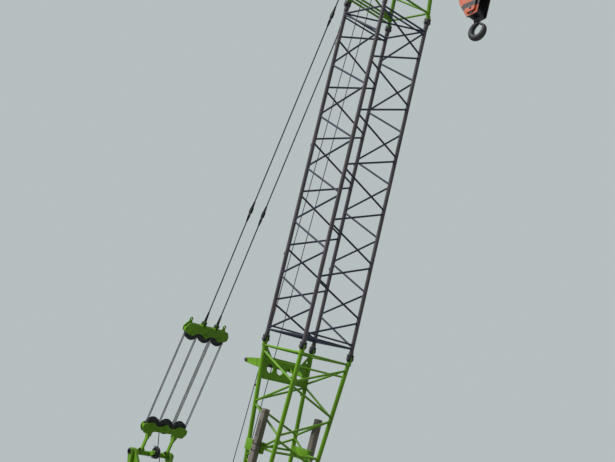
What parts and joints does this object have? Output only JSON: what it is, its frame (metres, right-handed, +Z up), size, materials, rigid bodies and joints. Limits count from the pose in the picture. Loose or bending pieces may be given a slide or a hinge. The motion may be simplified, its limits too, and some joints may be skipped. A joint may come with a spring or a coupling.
{
  "type": "crawler crane",
  "caption": "Crawler crane with a tubular lattice boom, gantry and bridle suspension, winches, cab and a reeved hook block",
  "frame": {"origin": "on the ground, on the slewing axis", "axes": "+X towards the boom, +Y towards the cab side, +Z up"},
  "size_m": [14.5546, 4.85, 23.5524],
  "materials": {
    "green_paint": "gloss lime green paint, weathered",
    "grey_paint": "dark grey paint, worn",
    "dark_paint": "black paint, greasy",
    "track_steel": "cast steel, dusty and worn",
    "bare_steel": "machined steel, oiled",
    "engine_iron": "cast, oily",
    "sheave_steel": "dark steel, greased grooves",
    "wire_rope": "greased wire rope",
    "cab_glass": "clear, faintly green",
    "seat_cloth": "black woven cloth",
    "dark_plastic": "matt moulded",
    "weathered_grey": "grey paint, rusty and worn",
    "block_paint": "orange red with black stripes",
    "forged_steel": "forged, black",
    "walkway_steel": "black paint over chequered plate, worn",
    "rail_steel": "galvanised, dull",
    "stack_steel": "heat-browned steel"
  },
  "bodies": {
    "undercarriage": {"car_body": "green_paint", "side_frame_left": "green_paint", "side_frame_right": "green_paint", "track_left": "track_steel", "track_right": "track_steel", "drive_sprockets": "track_steel", "idlers": "track_steel", "track_rollers": "track_steel", "slew_ring_lower": "bare_steel"},
    "upper_works": {"slew_ring_upper": "bare_steel", "revolving_frame": "green_paint", "deck_stands": "green_paint", "hood_left": "green_paint", "hood_right": "green_paint", "catwalks": "walkway_steel", "hand_rails": "rail_steel", "exhaust_stack": "stack_steel", "cab_fittings": "dark_plastic", "engine": "engine_iron", "fuel_tank": "green_paint", "counterweight_tray": "dark_paint", "counterweight_blocks": "green_paint", "gantry_front_legs": "green_paint", "gantry_rear_legs": "green_paint", "gantry_head": "green_paint", "lower_bridle": "green_paint", "lower_bridle_sheaves": "sheave_steel", "cab_floor": "green_paint", "cab_frame": "green_paint", "cab_glass": "cab_glass", "operator_seat": "seat_cloth", "control_stands": "dark_plastic"},
    "guide_sheave": {"gantry_guide_sheave": "sheave_steel"},
    "winch_main": {"main_drum": "dark_paint"},
    "winch_second": {"second_drum": "dark_paint"},
    "winch_boom": {"boom_drum": "dark_paint"},
    "door": {"cab_door": "green_paint", "cab_door_glass": "cab_glass"},
    "boom": {"boom_butt": "green_paint", "boom_insert": "grey_paint", "boom_head": "green_paint", "head_plates": "green_paint", "section_connectors": "dark_paint", "backstops": "weathered_grey", "pendants": "wire_rope", "upper_bridle": "green_paint", "upper_bridle_sheaves": "sheave_steel", "hoist_leads": "wire_rope"},
    "rope_roller": {"guide_roller": "sheave_steel"},
    "lead_wheel_set": {"head_guide_wheels": "sheave_steel"},
    "head_sheave_set": {"head_sheaves": "sheave_steel"},
    "nose_wheel": {"nose_sheave": "sheave_steel"},
    "falls": {"hoist_falls": "wire_rope"},
    "block": {"hook_block": "block_paint"},
    "block_sheave_set": {"block_sheaves": "sheave_steel"},
    "load_hook": {"hook": "forged_steel"}
  },
  "joints": [
    {"name": "slew", "type": "hinge", "parent": "undercarriage", "child": "upper_works", "pos_m": [0, 0, 1.09], "axis": [0, 0, 1], "continuous": true},
    {"name": "boom_luff", "type": "hinge", "parent": "upper_works", "child": "boom", "pos_m": [1, 0, 1.75], "axis": [0, -1, 0], "range_deg": [-40.3, 9.7]},
    {"name": "hook_swing", "type": "hinge", "parent": "boom", "child": "falls", "pos_m": [9.0484, 0, 22.44839], "axis": [0, -1, 0], "range_deg": [-9.7, 40.3]},
    {"name": "hook_hoist", "type": "slide", "parent": "falls", "child": "block", "axis": [0, 0, -1], "range_m": [-4.2, 13.8], "deforming": ["hoist_falls"]},
    {"name": "hook_swivel", "type": "hinge", "parent": "block", "child": "load_hook", "pos_m": [9.0484, 0, 14.9], "axis": [0, 0, 1], "continuous": true},
    {"name": "block_sheave_spin", "type": "hinge", "parent": "block", "child": "block_sheave_set", "pos_m": [9.0484, 0, 15.7], "axis": [0, 1, 0], "continuous": true},
    {"name": "head_sheave_spin", "type": "hinge", "parent": "boom", "child": "head_sheave_set", "pos_m": [9.0484, 0, 22.44839], "axis": [0, 1, 0], "continuous": true},
    {"name": "nose_sheave_spin", "type": "hinge", "parent": "boom", "child": "nose_wheel", "pos_m": [9.81462, 0, 23.34243], "axis": [0, 1, 0], "continuous": true},
    {"name": "guide_roller_spin", "type": "hinge", "parent": "boom", "child": "rope_roller", "pos_m": [1.77216, 0, 7.95275], "axis": [0, 1, 0], "continuous": true},
    {"name": "lead_wheel_spin", "type": "hinge", "parent": "boom", "child": "lead_wheel_set", "pos_m": [7.95872, 0, 22.5199], "axis": [0, 1, 0], "continuous": true},
    {"name": "guide_sheave_spin", "type": "hinge", "parent": "upper_works", "child": "guide_sheave", "pos_m": [-3.05, 0, 6.32], "axis": [0, 1, 0], "continuous": true},
    {"name": "main_drum_spin", "type": "hinge", "parent": "upper_works", "child": "winch_main", "pos_m": [-0.5, 0, 2.0103], "axis": [0, 1, 0], "continuous": true},
    {"name": "second_drum_spin", "type": "hinge", "parent": "upper_works", "child": "winch_second", "pos_m": [-1.46, 0, 2.0103], "axis": [0, 1, 0], "continuous": true},
    {"name": "boom_drum_spin", "type": "hinge", "parent": "upper_works", "child": "winch_boom", "pos_m": [-2.42, 0, 2.0103], "axis": [0, 1, 0], "continuous": true},
    {"name": "cab_door_swing", "type": "hinge", "parent": "upper_works", "child": "door", "pos_m": [0.6, 2.012, 2], "axis": [0, 0, 1], "range_deg": [0, 95]}
  ],
  "couplings": [
    {"joint": "hook_swing", "follows": "boom_luff", "ratio": -1}
  ]
}
